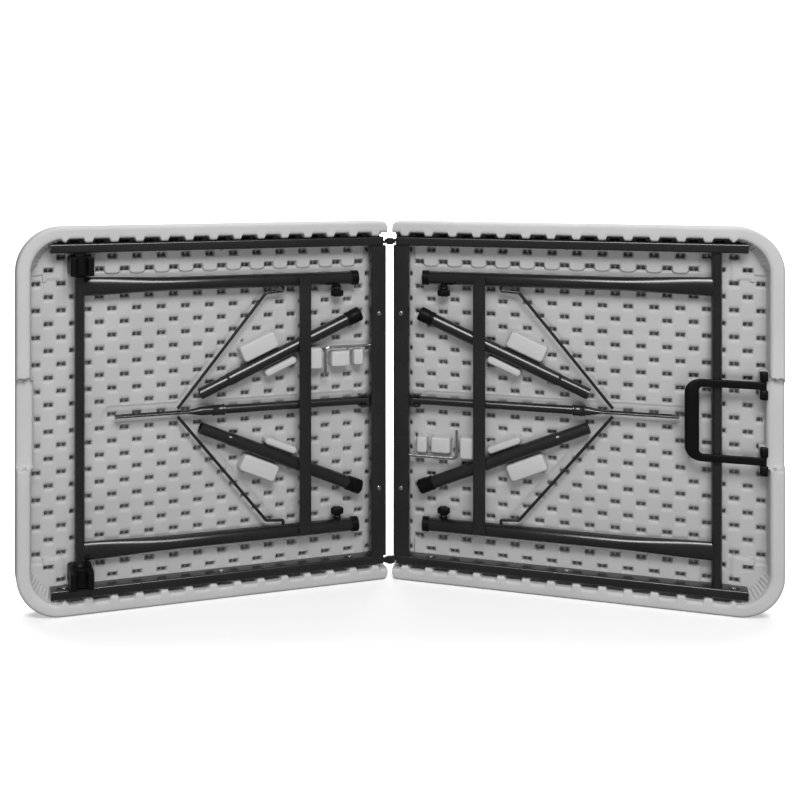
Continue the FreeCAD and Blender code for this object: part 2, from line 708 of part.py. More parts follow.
def all_pieces():
    pieces = {}
    for side in ("left", "right"):
        for name, shape in half_pieces(side).items():
            pieces[f"{side}_{name}"] = placed(shape, side)
    clip = latch_clip()
    pieces["latch_clip_upper"] = placed(mirrored(clip), "left")
    pieces["latch_clip_lower"] = placed(clip, "left")
    pieces["carry_handle"] = placed(carry_handle(), "right")
    pieces["handle_saddles"] = placed(handle_saddles(), "right")
    pieces["fold_rivets"] = fold_rivets()
    return pieces


def origin(pieces):
    """The middle of the table's footprint, at the height it stands on."""
    spans = [shape.optimalBoundingBox() for shape in pieces.values()]
    x = (min(s.XMin for s in spans) + max(s.XMax for s in spans)) / 2
    y = (min(s.YMin for s in spans) + max(s.YMax for s in spans)) / 2
    return V(x, y, min(s.ZMin for s in spans))


def main():
    os.makedirs("parts", exist_ok=True)
    pieces = all_pieces()
    shift = origin(pieces)
    for name, shape in pieces.items():
        moved = shape.translated(shift * -1)
        if not moved.isValid():
            print("not valid:", name)
        moved.exportStep(f"parts/{name}.step")
    print("origin", [round(c, 3) for c in shift], "pieces", len(pieces))


if __name__ == "__main__":
    main()
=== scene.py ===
"""Looks of the folding table: moulded half tops, coated steel frame, black plastic and zinc parts.

Most pieces are drawn in the flat frame of one half, in millimetres: u runs from the fold line to the
outer end, v from one long edge to the other, and w out of the underside. Both halves use the same
drawing, and the left one is turned end for end.
"""

import json
import math

import bmesh
import bpy
import numpy as np
from mathutils import Matrix, Vector


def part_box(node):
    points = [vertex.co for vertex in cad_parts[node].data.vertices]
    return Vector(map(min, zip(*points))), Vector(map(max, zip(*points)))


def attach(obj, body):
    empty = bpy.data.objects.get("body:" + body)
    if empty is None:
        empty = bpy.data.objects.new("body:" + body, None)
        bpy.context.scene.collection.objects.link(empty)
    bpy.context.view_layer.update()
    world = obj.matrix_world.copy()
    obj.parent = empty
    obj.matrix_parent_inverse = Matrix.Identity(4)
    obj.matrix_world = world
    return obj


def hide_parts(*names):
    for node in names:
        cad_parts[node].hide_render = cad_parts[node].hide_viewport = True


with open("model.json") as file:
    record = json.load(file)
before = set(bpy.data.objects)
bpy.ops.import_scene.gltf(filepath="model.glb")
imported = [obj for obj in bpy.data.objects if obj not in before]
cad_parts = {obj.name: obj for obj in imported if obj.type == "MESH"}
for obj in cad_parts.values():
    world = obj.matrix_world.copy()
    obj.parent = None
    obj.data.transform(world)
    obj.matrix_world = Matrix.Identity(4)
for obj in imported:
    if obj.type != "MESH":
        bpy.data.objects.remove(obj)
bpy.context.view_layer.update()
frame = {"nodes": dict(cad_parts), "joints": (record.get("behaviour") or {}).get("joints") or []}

MM = 0.001
WIDTH = 600.0
CENTRE = WIDTH / 2
HALF_LENGTH = 610.0
SIDES = ("left", "right")

fold_low, fold_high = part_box("fold_rivets")
FOLD_PLACE = (fold_low + fold_high) / 2
JOINTS = {joint["name"]: joint for joint in frame["joints"]}
STAND_ANGLE = math.radians(max(JOINTS["centre_fold"]["range_deg"]) / 2)

# ---- moulded half top ----
FOLD_GAP = 3.5
THICKNESS = 45.0
FLOOR = -30.0
CORNER_R = 70.0
INNER_CORNER_R = 52.0
RIM_SIDE = 18.5             # rim width on the long sides, before its teeth
RIM_END = 22.0
OUTER_ARC = (HALF_LENGTH - CORNER_R, CORNER_R)   # middle of a corner's arc, outside and inside
INNER_ARC = (HALF_LENGTH - RIM_END - INNER_CORNER_R, RIM_SIDE + INNER_CORNER_R)
TOP_R = 8.0                 # rounding at the tabletop
RIM_R = 5.0                 # rounding at the rim's outer edge
LIP_R = 4.0                 # rounding at the rim's inner edge
RIM_FACE = -0.6
OUTER_WALL_W = (-28.0, -17.0)
INNER_WALL_SLOPE = 1.2
SECTION_STEP = 1.5          # between sections of the rim along a side
CORNER_STEPS = 88
END_RUN = 620.0             # added to v, for the run along the outer end
TOOTH = 6.2                 # how far a tooth stands out of the long sides' inner wall
TOOTH_PITCH = 39.6
TOOTH_HALF = 6.6
TOOTH_FLANK = 1.6           # half the length over which a tooth rises
TOOTH_PHASE = 24.8
NOTCH_V = 72.0              # half width of the handle notch
NOTCH_DROP = 10.6           # depth of its outer band
NOTCH_FLANK = 3.0           # length over which the notch falls at its ends
NOTCH_FADE = (-34.0, 30.0)  # lowest point that the notch moves, and the height over which it fades out
NOTCH_BAND = (6.5, 6.5, 6.0)     # middle and half width of its outer band, and how far the ends bow out
NOTCH_RIDGE = (18.0, 5.0, 4.0)   # the same for the ridge inside it
RIDGE_FROM = (11.5, 2.5)    # the band turns into the ridge from here, over this width
RIDGE_DROP = 9.4            # depth of the notch over the ridge
RIDGE_BULGE = 4.0           # the ridge inside the notch stands this far in
FOLD_CORNER_R = 8.0         # rounding of the rim's corner at the fold
CORNER_DRAFT = 9.0          # extra slope of the inner wall round the outer corners
CORNER_RIBS = 11            # faint ribs on that wall
CORNER_RIB = 0.6
SHELL_FOOT = -43.4          # the rim's inner wall runs on down to here, under the floor
SLAB_FOOT = -43.8
FLOOR_U = (3.7, 591.0)      # the floor runs on under the rim
FLOOR_V = (18.0, 582.0)
FLOOR_TUCK = 6.0            # and this far under it round the corners
GRID_U = (5.0, 589.5)       # where the floor's grid has lines for the dimples
GRID_V = (19.0, 581.0)
GRID_COUNT = (30, 29)       # dimple columns and rows
# more grid lines along u, this far from the centre line, for the relief's edges
RELIEF_LINES = (12.0, 14.2, 213.0, 214.2, 219.0, 222.0, 223.6, 226.0, 227.6, 229.2, 231.0)
COLUMN = 19.8               # dimple lattice
ROW = 21.0
LATTICE_U = 5.0
LATTICE_V = 6.0
DIMPLE = (9.0, 5.4)         # half size of a dimple's mouth
DIMPLE_LIP = (1.9, 1.9)     # width and depth of the sloped lip round it
DIMPLE_WALL = 1.0
DIMPLE_DEPTH = 11.0
PIT_RIDGE = (2.6, 1.6, 0.38)     # half width, slope and share of the depth of the ridge between two pits
DIMPLE_MARGIN = 12.0        # no dimples this near to the inner wall in the corners
BLOCK_MARGIN = 2.0          # or this near to a block
PAINTED_SHADE_FROM = 2.0            # depth below which a dimple gets painted shade, darker the deeper it goes
FLOOR_PAINTED_SHADE = 0.20          # painted shade over the whole recessed floor, so it reads a little darker than the rim
SHELF = 2.6                 # height of the shelf beside each side rail
PAD_U = (536.0, 569.0)      # a pad of the same height in each outer corner
PAD_V = (87.0, 69.0)
PAD_CUT = (554.0, 97.0, 14.5)    # middle and radius of a round bite out of it
SHELF_V = (223.0, 231.0)    # the shelf's scalloped edge, from the centre line
SHELF_U = (36.0, 490.0, 549.0)   # from, to, and from again by the outer corner
RELIEF_SLOPE = 1.2          # width of the step at the edge of a shelf or pad
WIRE_CHANNEL = ((200.0, 192.0), (350.0, 10.0))   # its ends: u, and v from the centre line
WIRE_CHANNEL_HALF = 9.0
WIRE_CHANNEL_DEPTH = 1.5
BRACE_CHANNEL_U = (60.0, 462.0)
BRACE_CHANNEL_HALF = 14.0
BRACE_CHANNEL_DEPTH = 1.8
LEG_V = 206.0               # leg tube from the centre line
LEG_R = 11.0
LEG_BORE_R = 9.8
LEG_BORE_DEPTH = 150.0
LEG_U = (53.0, 511.0)
LEG_CHAMFER = (0.4, 0.3)    # along the tube and across its wall
FLARE_U = (360.0, 505.0)
FLARE_HALF = (14.5, 6.5)
FLARE_STEPS = 20
TUBE_W = -16.0
PIVOT_U = 513.0
PIVOT_BORE_R = 8.05
KNOB_U = 88.0
KNOB_R = 10.5
KNOB_GAP = 9.0
KNOB_THICK = 10.0
KNOB_FACE = (KNOB_U, CENTRE + LEG_V - LEG_R - KNOB_GAP, TUBE_W)
KNOB_LOBE = 2.0             # depth of the hollows between its lobes
HUB_R = 5.8
THREAD_R = 3.0
THREAD_DEPTH = 0.5
THREAD_FROM = 2.4
THREAD_PITCH = 0.8
THREAD_TURNS = 9
BLOCK_TOP = -9.0
BLOCK_SINK = 3.0            # a block starts this far inside the floor
EXTENSION_OUTER = (321.0, 27.0)
EXTENSION_INNER = (47.0, 146.0)
EXTENSION_W = -17.0
FOOT_R = 12.2
FOOT_LENGTH = 26.0
FOOT_BASE = 4.0
FOOT_BORE_R = 10.55
FOOT_RIBS = (4.0, 8.0)
RING_U = {"left": 291.0, "right": 306.0}
RING_R = (7.4, 9.0)
RING_LENGTH = 20.0
RING_ROLL = 3.0             # length of its rolled ends
CLIP_V = (226.0, 254.0)
CLIP_HALF_U = 18.0
CLIP_TOP = 24.0
CLIP_BASE = -5.0
CLIP_SLOT = 8.6             # half width of the slot between the jaws
CLIP_SLOT_BASE = 7.4
CLIP_BEARING_TOP = 14.0
CLIP_CHAMFER = 1.2
BIG_BLOCK = (118.0, 66.0, 12.0, 42.0)      # middle and length along an extension, from and to beside it
SLIM_BLOCK = (138.0, 60.0, -26.0, -12.0)
BOLT_BLOCKS = ((114.0, 139.0, 207.0, 244.0), (66.0, 100.0, 214.0, 242.0), (42.0, 61.0, 212.5, 241.0))
FOLD_STRIP_U = (3.8, 14.5)  # a low block under the centre rail
FOLD_STRIP_V = 45.5
FOLD_STRIP_TOP = -19.2

# ---- steel ----
RAIL_V = (26.0, 40.5)
RAIL_U = (10.0, 558.0)
RAIL_W = (-29.8, -3.5)
RAIL_WALL = 1.8
RAIL_BEND = 2.6
RAIL_EDGE = 0.4
CENTRE_RAIL_U = (5.0, 31.5)
CENTRE_RAIL_W = (-19.0, -3.0)
CROSS_BAR_U = (138.0, 158.0)
CROSS_BAR_W = (-4.95, -1.2)
CROSS_BAR_OVER = 4.0        # the bar's ends beyond the legs' centre lines
CROSS_BAR_EDGE = 1.0

# ---- handle ----
HANDLE_U = (476.0, 580.0)
HANDLE_V = 58.0
HANDLE_CORNER = 16.0
HANDLE_W = -4.2
HANDLE_PIVOT_W = -5.4
STRIP_HALF = (6.0, 3.0)     # half width and thickness of the arms
GRIP_SWELL = (4.7, 3.4)     # what the grip adds to them
STRIP_POWER = 4.5           # how square the arms' section is
GRIP_ROUNDING = 2.2         # and how much less square the grip's is
PIN_R = 3.8
PIN_LENGTH = 42.0
SADDLE_V = (7.2, 21.5)      # from an arm's middle
SADDLE_HALF_U = 6.0
SADDLE_TOP = 4.6
SADDLE_BORE = 3.85
PAD_TOP = -11.0             # pads that the saddles stand on
PIN_PAD_U = (574.6, 588.0)
PIN_PAD_V = 20.8

# ---- stage and camera, in metres ----
STAGE_HALF = 8.0
STAGE_FRONT = -6.0
STAGE_BACK = 2.6            # where the floor starts to curve up
STAGE_BEND = 1.6
STAGE_TOP = 6.0
TABLE_MIDDLE = (0, 0, 0.3)
EYE = (-0.18, -1.876, 0.712)     # x, distance in front of the fold, height
LENS = 50.4
LENS_SHIFT = (0.147, -0.307)


# ---- from the flat frame to the row frame ----

def half_matrix(side):
    flat = Matrix(((1, 0, 0, 0), (0, 0, -1, 0), (0, 1, 0, 0), (0, 0, 0, 1)))
    place = Matrix.Translation(Vector((FOLD_PLACE.x, FOLD_PLACE.y, 0)))
    scale = Matrix.Scale(MM, 4)
    if side == "right":
        return place @ Matrix.Rotation(-STAND_ANGLE, 4, "Z") @ flat @ scale
    turn = Matrix.Translation((0, 0, WIDTH * MM)) @ Matrix.Rotation(math.pi, 4, "Y")
    return place @ Matrix.Rotation(STAND_ANGLE, 4, "Z") @ turn @ flat @ scale


def mirrored(part):
    """The same vertices and faces on the other side of the centre line."""
    verts, faces = part
    turned = np.array(verts, float)
    turned[:, 1] = WIDTH - turned[:, 1]
    return turned, [tuple(reversed(f)) for f in faces]


def joined(parts):
    verts, faces, start = [], [], 0
    for part_verts, part_faces in parts:
        verts.append(np.asarray(part_verts, float))
        faces += [tuple(i + start for i in f) for f in part_faces]
        start += len(part_verts)
    return np.concatenate(verts), faces


def piece(name, part, side, material, sharp=40):
    """A mesh object from flat-frame vertices and faces, smooth but for edges sharper than an angle."""
    verts, faces = part
    mesh = bpy.data.meshes.new(name)
    mesh.from_pydata([tuple(v) for v in verts], [], faces)
    mesh.transform(half_matrix(side))
    shell = bmesh.new()
    shell.from_mesh(mesh)
    bmesh.ops.recalc_face_normals(shell, faces=shell.faces)
    shell.to_mesh(mesh)
    shell.free()
    mesh.polygons.foreach_set("use_smooth", [True] * len(mesh.polygons))
    mesh.set_sharp_from_angle(angle=math.radians(sharp))
    mesh.materials.append(material)
    mesh.update()
    made = bpy.data.objects.new(name, mesh)
    bpy.context.scene.collection.objects.link(made)
    return made


def stand_for(made, body, slot, *nodes):
    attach(made, body)
    if nodes:
        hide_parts(*nodes)
    return made


# ---- mesh helpers ----

def loft(rings, closed_ring=True, cap_start=True, cap_end=True):
    """Quads between rings of equally many points, with flat caps."""
    count = len(rings[0])
    verts = np.concatenate([np.asarray(r, float) for r in rings])
    faces = []
    span = count if closed_ring else count - 1
    for r in range(len(rings) - 1):
        a, b = r * count, (r + 1) * count
        for i in range(span):
            j = (i + 1) % count
            faces.append((a + i, a + j, b + j, b + i))
    if cap_start:
        faces.append(tuple(reversed(range(count))))
    if cap_end:
        faces.append(tuple(range((len(rings) - 1) * count, len(rings) * count)))
    return verts, faces


def closed_loft(rings):
    """Quads between rings and from the last one back to the first, for a part with a hole through it."""
    verts, faces = loft(rings, cap_start=False, cap_end=False)
    count = len(rings[0])
    last = (len(rings) - 1) * count
    for i in range(count):
        j = (i + 1) % count
        faces.append((last + i, last + j, j, i))
    return verts, faces


def corner_arc(points, i, radius, steps):
    """The centre of the arc that rounds corner i of a closed polyline, and the ways out to its points."""
    count = len(points)
    before, corner, after = (np.array(points[(i + k) % count], float) for k in (-1, 0, 1))
    back = (before - corner) / np.linalg.norm(before - corner)
    onward = (after - corner) / np.linalg.norm(after - corner)
    half = math.acos(float(np.clip(np.dot(back, onward), -1, 1))) / 2
    middle = corner + (back + onward) / np.linalg.norm(back + onward) * radius / math.sin(half)
    reach = radius / math.tan(half)
    start, stop = corner + back * reach - middle, corner + onward * reach - middle
    first = math.atan2(start[1], start[0])
    sweep = (math.atan2(stop[1], stop[0]) - first + math.pi) % (2 * math.pi) - math.pi
    angles = [first + sweep * k / steps for k in range(steps + 1)]
    return middle, [np.array((math.cos(a), math.sin(a))) for a in angles]


def rounded_polygon(corners, radius, inset=0.0, steps=6):
    """Points round a convex polygon with rounded corners, drawn in by inset."""
    points = []
    for i in range(len(corners)):
        middle, ways = corner_arc(corners, i, radius, steps)
        points += [middle + way * (radius - inset) for way in ways]
    return points


def mound(corners, base, top, radius, edge, draft):
    """A solid standing on the floor: drafted sides, round corners and a rounded top edge."""
    heights = [(0.0, base), (draft, top - edge)]
    for k in range(1, 6):
        angle = math.pi / 2 * k / 5
        heights.append((draft + edge * (1 - math.cos(angle)), top - edge + edge * math.sin(angle)))
    rings = []
    for inset, w in heights:
        rings.append([(u, v, w) for u, v in rounded_polygon(corners, radius, inset)])
    return loft(rings)


def block(u0, u1, v0, v1, base, top, radius, edge, draft):
    return mound([(u0, v0), (u1, v0), (u1, v1), (u0, v1)], base, top, radius, edge, draft)


def extruded(outline, u0, u1):
    """A v, w outline run from u0 to u1."""
    return loft([[(u, v, w) for v, w in outline] for u in (u0, u1)])


def along_v(outline, v):
    """A u, w outline as a ring at v."""
    return [(u, v, w) for u, w in outline]


def smoothstep(x):
    x = np.clip(x, 0.0, 1.0)
    return x * x * (3 - 2 * x)


# ---- the half top's rim ----

def rim_path():
    """Along the rim from the fold, round the outer end and back: outer and inner points, the way in,
    the share of the corner turned so far, and a running length that places the teeth and the notch."""
    rows = []
    for u in np.arange(FOLD_GAP, INNER_ARC[0] - 12.0, SECTION_STEP):
        short = max(0.0, FOLD_CORNER_R - (u - FOLD_GAP))
        inset = FOLD_CORNER_R - math.sqrt(FOLD_CORNER_R ** 2 - short ** 2)
        rows.append(((u, inset), (u, RIM_SIDE), (0.0, 1.0), 0.0, u))
    last_u = INNER_ARC[0] - 6.0
    rows.append(((last_u + 2.0, 0.0), (last_u, RIM_SIDE), (0.0, 1.0), 0.0, last_u))
    for k in range(CORNER_STEPS + 1):
        angle = math.radians(-90 + 90 * k / CORNER_STEPS)
        way = (math.cos(angle), math.sin(angle))
        rows.append((
            (OUTER_ARC[0] + CORNER_R * way[0], OUTER_ARC[1] + CORNER_R * way[1]),
            (INNER_ARC[0] + INNER_CORNER_R * way[0], INNER_ARC[1] + INNER_CORNER_R * way[1]),
            (-way[0], -way[1]), k / CORNER_STEPS, OUTER_ARC[0] + k,
        ))
    notch_end = CENTRE - NOTCH_V
    before_notch = np.arange(INNER_ARC[1] + 3.5, notch_end - 10, 3.0)
    near_notch = np.arange(notch_end - 10, notch_end + 14, 1.0)
    for v in [*before_notch, *near_notch, *np.arange(notch_end + 16, CENTRE + 1, 4.0)]:
        rows.append(((HALF_LENGTH, v), (HALF_LENGTH - RIM_END, v), (-1.0, 0.0), 1.0, END_RUN + v))
    back = []
    for out, ins, way, end, run in reversed(rows[:-1]):
        back.append(((out[0], WIDTH - out[1]), (ins[0], WIDTH - ins[1]), (way[0], -way[1]), end, run))
    return rows + back


def tooth_at(u):
    """How much of a tooth there is at u, from 0 to 1."""
    off = abs((u - TOOTH_PHASE + TOOTH_PITCH / 2) % TOOTH_PITCH - TOOTH_PITCH / 2)
    return float(smoothstep((TOOTH_HALF + TOOTH_FLANK - off) / (2 * TOOTH_FLANK)))


def bowed_end(d, band):
    """Half length of a band of the notch at a distance d in from the edge; its ends bow out."""
    middle, half, bow = band
    place = min(max(d, middle - half), middle + half)
    return NOTCH_V - bow * ((place - middle) / half) ** 2


def notch_depth(d, v):
    """How far the rim is cut down at a distance d in from the edge, for the carry handle."""
    off = abs(v - CENTRE)
    ridge = smoothstep((d - RIDGE_FROM[0]) / RIDGE_FROM[1])
    band = NOTCH_DROP * smoothstep((bowed_end(d, NOTCH_BAND) - off) / NOTCH_FLANK)
    crest = RIDGE_DROP * smoothstep((bowed_end(d, NOTCH_RIDGE) - off) / NOTCH_FLANK)
    return float(band * (1 - ridge) + crest * ridge)


def rim_profile(out, ins, end, run):
    """One section of the rim: distance in from the outer edge, and height, from the tabletop round."""
    width = math.dist(out, ins)
    slope = INNER_WALL_SLOPE
    rib = 0.0
    if 0 < end < 1:
        inward = min(end, 1 - end)
        slope += CORNER_DRAFT * smoothstep(inward * 5)
        rib = CORNER_RIB * math.cos(end * 2 * CORNER_RIBS * math.pi) * smoothstep(inward * 12)
    if end == 1:
        off = abs(run - END_RUN - CENTRE)
        edge = width + RIDGE_BULGE * smoothstep((NOTCH_V - 2.0 - off) / NOTCH_FLANK)
    else:
        edge = width + TOOTH * tooth_at(run) * (1 - min(1.0, end * 8))
    quarter = [math.pi / 2 * k / 5 for k in range(6)]
    rows = [(TOP_R * (1 - math.sin(a)), -THICKNESS + TOP_R * (1 - math.cos(a))) for a in quarter]
    rows += [(0.0, w) for w in OUTER_WALL_W]
    rows += [(RIM_R * (1 - math.cos(a)), RIM_FACE - RIM_R + RIM_R * math.sin(a)) for a in quarter]
    for share in (0.45, 0.6, 0.75):
        rows.append((width * share, RIM_FACE))
    soft = LIP_R + 2.0 * end
    for a in quarter:
        rows.append((edge - soft + soft * math.sin(a), RIM_FACE - 0.2 - soft + soft * math.cos(a)))
    for share, w in ((0.2, -9.0), (0.6, -19.0), (1.0, FLOOR + 1.2)):
        rows.append((edge + slope * share + rib, w))
    foot = edge + slope + 1.6
    return rows + [(foot, FLOOR - 0.4), (foot, SHELL_FOOT)]


def rim_shell():
    """The rim, the outer wall and the tabletop as one closed shell."""
    path = rim_path()
    rings = []
    for out, ins, way, end, run in path:
        width = math.dist(out, ins)
        ring = []
        for d, w in rim_profile(out, ins, end, run):
            share = min(d / width, 1.0)
            u = out[0] + (ins[0] - out[0]) * share + way[0] * max(d - width, 0.0)
            v = out[1] + (ins[1] - out[1]) * share + way[1] * max(d - width, 0.0)
            if end == 1 and w > NOTCH_FADE[0]:
                w -= notch_depth(d, v) * min((w - NOTCH_FADE[0]) / NOTCH_FADE[1], 1.0)
            ring.append((u, v, w))
        rings.append(ring)
    count = len(rings[0])
    verts, faces = loft(rings, closed_ring=False, cap_start=False, cap_end=False)
    last = (len(rings) - 1) * count
    faces.append(tuple(range(count)))
    faces.append(tuple(reversed(range(last, last + count))))
    starts = [r * count for r in range(len(rings))]
    faces.append(tuple(starts))
    faces.append(tuple(reversed([s + count - 1 for s in starts])))
    faces.append((0, count - 1, last + count - 1, last))
    return verts, faces


# ---- the half top's floor ----

def lattice_lines(first, pitch, count, mouth, ridge, limits):
    """Grid lines across a row of dimples: between them, and at their lips, walls and ridges."""
    lip = mouth - DIMPLE_LIP[0]
    steps = [mouth, lip, lip - DIMPLE_WALL, *ridge]
    offsets = [-pitch / 2] + [-step for step in steps] + steps[::-1]
    lines = [first + pitch * k + offset for k in range(count) for offset in offsets]
    return [line for line in lines if limits[0] < line < limits[1]]


def dimples(u, v):
    """Depth below the floor of the double-pit dimples at each u, v."""
    k = np.round((u - LATTICE_U) / COLUMN)
    du = u - LATTICE_U - k * COLUMN
    start = np.where(np.mod(k, 2) == 0, LATTICE_V + ROW, LATTICE_V)
    m = np.round((v - start) / (2 * ROW))
    dv = v - start - m * 2 * ROW
    mouth = np.minimum(DIMPLE[0] - np.abs(du), DIMPLE[1] - np.abs(dv))
    lip, drop = DIMPLE_LIP
    wall = np.clip((mouth - lip) / DIMPLE_WALL, 0, 1)
    half, slope, share = PIT_RIDGE
    ridge = share * smoothstep((half - np.abs(du)) / slope)
    depth = drop * np.clip(mouth / lip, 0, 1) + (DIMPLE_DEPTH - drop) * wall * (1 - ridge)
    from_edge = WIDTH / 2 - np.abs(v - dv - CENTRE)
    off_u, off_v = u - du - INNER_ARC[0], INNER_ARC[1] - from_edge
    cornered = (off_u > 0) & (off_v > 0) & (np.hypot(off_u, off_v) > INNER_CORNER_R - DIMPLE_MARGIN)
    return np.where(cornered, 0.0, depth)


def distance_to_segment(u, v, a, b):
    au, av, bu, bv = *a, *b
    length = (bu - au) ** 2 + (bv - av) ** 2
    t = np.clip(((u - au) * (bu - au) + (v - av) * (bv - av)) / length, 0, 1)
    return np.hypot(u - au - t * (bu - au), v - av - t * (bv - av))


def relief(u, v):
    """The shelf beside each side rail, the pads in the outer corners, and the channels under the brace
    and its wires, as heights above the floor."""
    height = np.zeros_like(u)
    scallop = (0.5 + 0.5 * np.cos((u - LATTICE_U) / (2 * COLUMN) * 2 * math.pi)) ** 2
    edge = SHELF_V[0] + (SHELF_V[1] - SHELF_V[0]) * scallop
    along = smoothstep((u - SHELF_U[0]) / 1.5) * smoothstep((SHELF_U[1] - u) / 1.5)
    along = np.maximum(along, smoothstep((u - SHELF_U[2]) / 1.5))
    height += SHELF * smoothstep((np.abs(v - CENTRE) - edge) / RELIEF_SLOPE) * along
    from_edge = WIDTH / 2 - np.abs(v - CENTRE)
    pad_edge = np.where(u < PAD_U[1], PAD_V[0], PAD_V[1])
    pad = smoothstep((u - PAD_U[0]) / RELIEF_SLOPE) * smoothstep((pad_edge - from_edge) / RELIEF_SLOPE)
    pad *= smoothstep((np.hypot(u - PAD_CUT[0], from_edge - PAD_CUT[1]) - PAD_CUT[2]) / RELIEF_SLOPE)
    height = np.maximum(height, SHELF * pad)
    for side in (-1, 1):
        ends = [(end_u, CENTRE + side * end_v) for end_u, end_v in WIRE_CHANNEL]
        wire = distance_to_segment(u, v, *ends)
        height = height - WIRE_CHANNEL_DEPTH * smoothstep((WIRE_CHANNEL_HALF - wire) / 2.0)
    brace = distance_to_segment(u, v, *[(end_u, CENTRE) for end_u in BRACE_CHANNEL_U])
    channel = -BRACE_CHANNEL_DEPTH * smoothstep((BRACE_CHANNEL_HALF - brace) / 1.6)
    return np.where(brace < BRACE_CHANNEL_HALF, channel, height)


def floor_shell():
    """The tray floor with its dimples and relief, as a closed slab tucked under the rim, and the
    painted shade at each point: dark deep in the dimples, light over the rest of the recessed floor."""
    pits = (PIT_RIDGE[0], PIT_RIDGE[0] - PIT_RIDGE[1])
    u_lines = lattice_lines(LATTICE_U, COLUMN, GRID_COUNT[0], DIMPLE[0], pits, GRID_U)
    v_lines = lattice_lines(LATTICE_V, ROW, GRID_COUNT[1], DIMPLE[1], (), GRID_V)
    v_lines += [CENTRE + side * off for side in (-1, 1) for off in RELIEF_LINES]
    u_lines, v_lines = sorted([*FLOOR_U, *u_lines]), sorted([*FLOOR_V, *v_lines])
    u, v = np.meshgrid(np.array(u_lines), np.array(v_lines), indexing="ij")
    hollow = dimples(u, v)
    for plan in block_corners():
        hollow = np.where(inside(u, v, plan, BLOCK_MARGIN), 0.0, hollow)
    # painted shade: darker deeper in each dimple, with a little over the whole floor
    pit_painted_shade = np.clip((hollow - PAINTED_SHADE_FROM) / (DIMPLE_DEPTH - PAINTED_SHADE_FROM), 0, 1)
    painted_shade = FLOOR_PAINTED_SHADE + (1 - FLOOR_PAINTED_SHADE) * pit_painted_shade
    w = FLOOR - hollow + relief(u, v) * (1 - hollow / DIMPLE_DEPTH)
    u, v, beyond = tucked(u, v, INNER_CORNER_R + FLOOR_TUCK)
    rows, cols = u.shape
    index = np.arange(rows * cols).reshape(rows, cols)
    faces = []
    for i in range(rows - 1):
        for j in range(cols - 1):
            if not beyond[i:i + 2, j:j + 2].all():
                square = (index[i, j], index[i + 1, j], index[i + 1, j + 1], index[i, j + 1])
                faces.append(tuple(int(corner) for corner in square))
    loop = border_loop(faces)
    verts = np.stack([u.ravel(), v.ravel(), w.ravel()], axis=1)
    feet = verts[loop].copy()
    feet[:, 2] = SLAB_FOOT
    base = len(verts)
    for i, a in enumerate(loop):
        j = (i + 1) % len(loop)
        faces.append((loop[j], a, base + i, base + j))
    faces.append(tuple(reversed(range(base, base + len(loop)))))
    verts = np.concatenate([verts, feet])
    painted_shades = np.concatenate([painted_shade.ravel(), np.zeros(len(feet))])
    return drop_loose(verts, faces, painted_shades)


def border_loop(faces):
    """The points round the edge of a sheet of faces, in order."""
    edges = dict.fromkeys(edge for face in faces for edge in zip(face, face[1:] + face[:1]))
    onward = {a: b for a, b in edges if (b, a) not in edges}
    loop = [next(iter(onward))]
    while onward[loop[-1]] != loop[0]:
        loop.append(onward[loop[-1]])
    return loop


def tucked(u, v, radius):
    """Draws the points beyond a round corner in to its arc, at both outer corners."""
    middle_u = INNER_ARC[0]
    beyond = np.zeros(u.shape, bool)
    for middle_v, sign in ((INNER_ARC[1], -1), (WIDTH - INNER_ARC[1], 1)):
        du, dv = u - middle_u, v - middle_v
        far = np.hypot(du, dv)
        out = (du > 0) & (dv * sign > 0) & (far > radius)
        u = np.where(out, middle_u + du / np.maximum(far, 1) * radius, u)
        v = np.where(out, middle_v + dv / np.maximum(far, 1) * radius, v)
        beyond |= out
    return u, v, beyond


def drop_loose(verts, faces, painted_shades):
    """The same faces without the points that none of them uses."""
    used = np.zeros(len(verts), bool)
    for face in faces:
        used[list(face)] = True
    number = np.cumsum(used) - 1
    return (verts[used], [tuple(int(number[i]) for i in f) for f in faces]), painted_shades[used]


def extension_point(distance, side=0.0):
    """A point beside a stored leg extension, measured from its outer end."""
    du = EXTENSION_INNER[0] - EXTENSION_OUTER[0]
    dv = EXTENSION_INNER[1] - EXTENSION_OUTER[1]
    length = math.hypot(du, dv)
    along = (du / length, dv / length)
    u = EXTENSION_OUTER[0] + along[0] * distance + along[1] * side
    v = CENTRE + EXTENSION_OUTER[1] + along[1] * distance - along[0] * side
    return u, v


def block_corners():
    """The plan of every raised block on the floor, anticlockwise: four beside the extensions, three
    for the draw bolt and the strip at the fold."""
    plans = []
    for middle, length, near, far in (BIG_BLOCK, SLIM_BLOCK):
        low, high = middle - length / 2, middle + length / 2
        plan = [extension_point(low, near), extension_point(high, near),
                extension_point(high, far), extension_point(low, far)]
        plans.append(plan)
        plans.append([(u, WIDTH - v) for u, v in plan])
    for u0, u1, v0, v1 in BOLT_BLOCKS:
        plans.append([(u0, v0), (u1, v0), (u1, v1), (u0, v1)])
    end, near = FOLD_STRIP_U[1], FOLD_STRIP_V - 1.5
    far = WIDTH - near
    plans.append([(-5.0, near), (end, near), (end, far), (-5.0, far)])
    return [anticlockwise(plan) for plan in plans]


def anticlockwise(plan):
    area = sum(a[0] * b[1] - b[0] * a[1] for a, b in zip(plan, plan[1:] + plan[:1]))
    return plan if area > 0 else plan[::-1]


def inside(u, v, plan, margin):
    """Whether points lie inside a convex plan, or within a margin of it."""
    near = np.ones(u.shape, bool)
    for a, b in zip(plan, plan[1:] + plan[:1]):
        length = math.dist(a, b)
        near &= ((b[0] - a[0]) * (v - a[1]) - (b[1] - a[1]) * (u - a[0])) / length > -margin
    return near


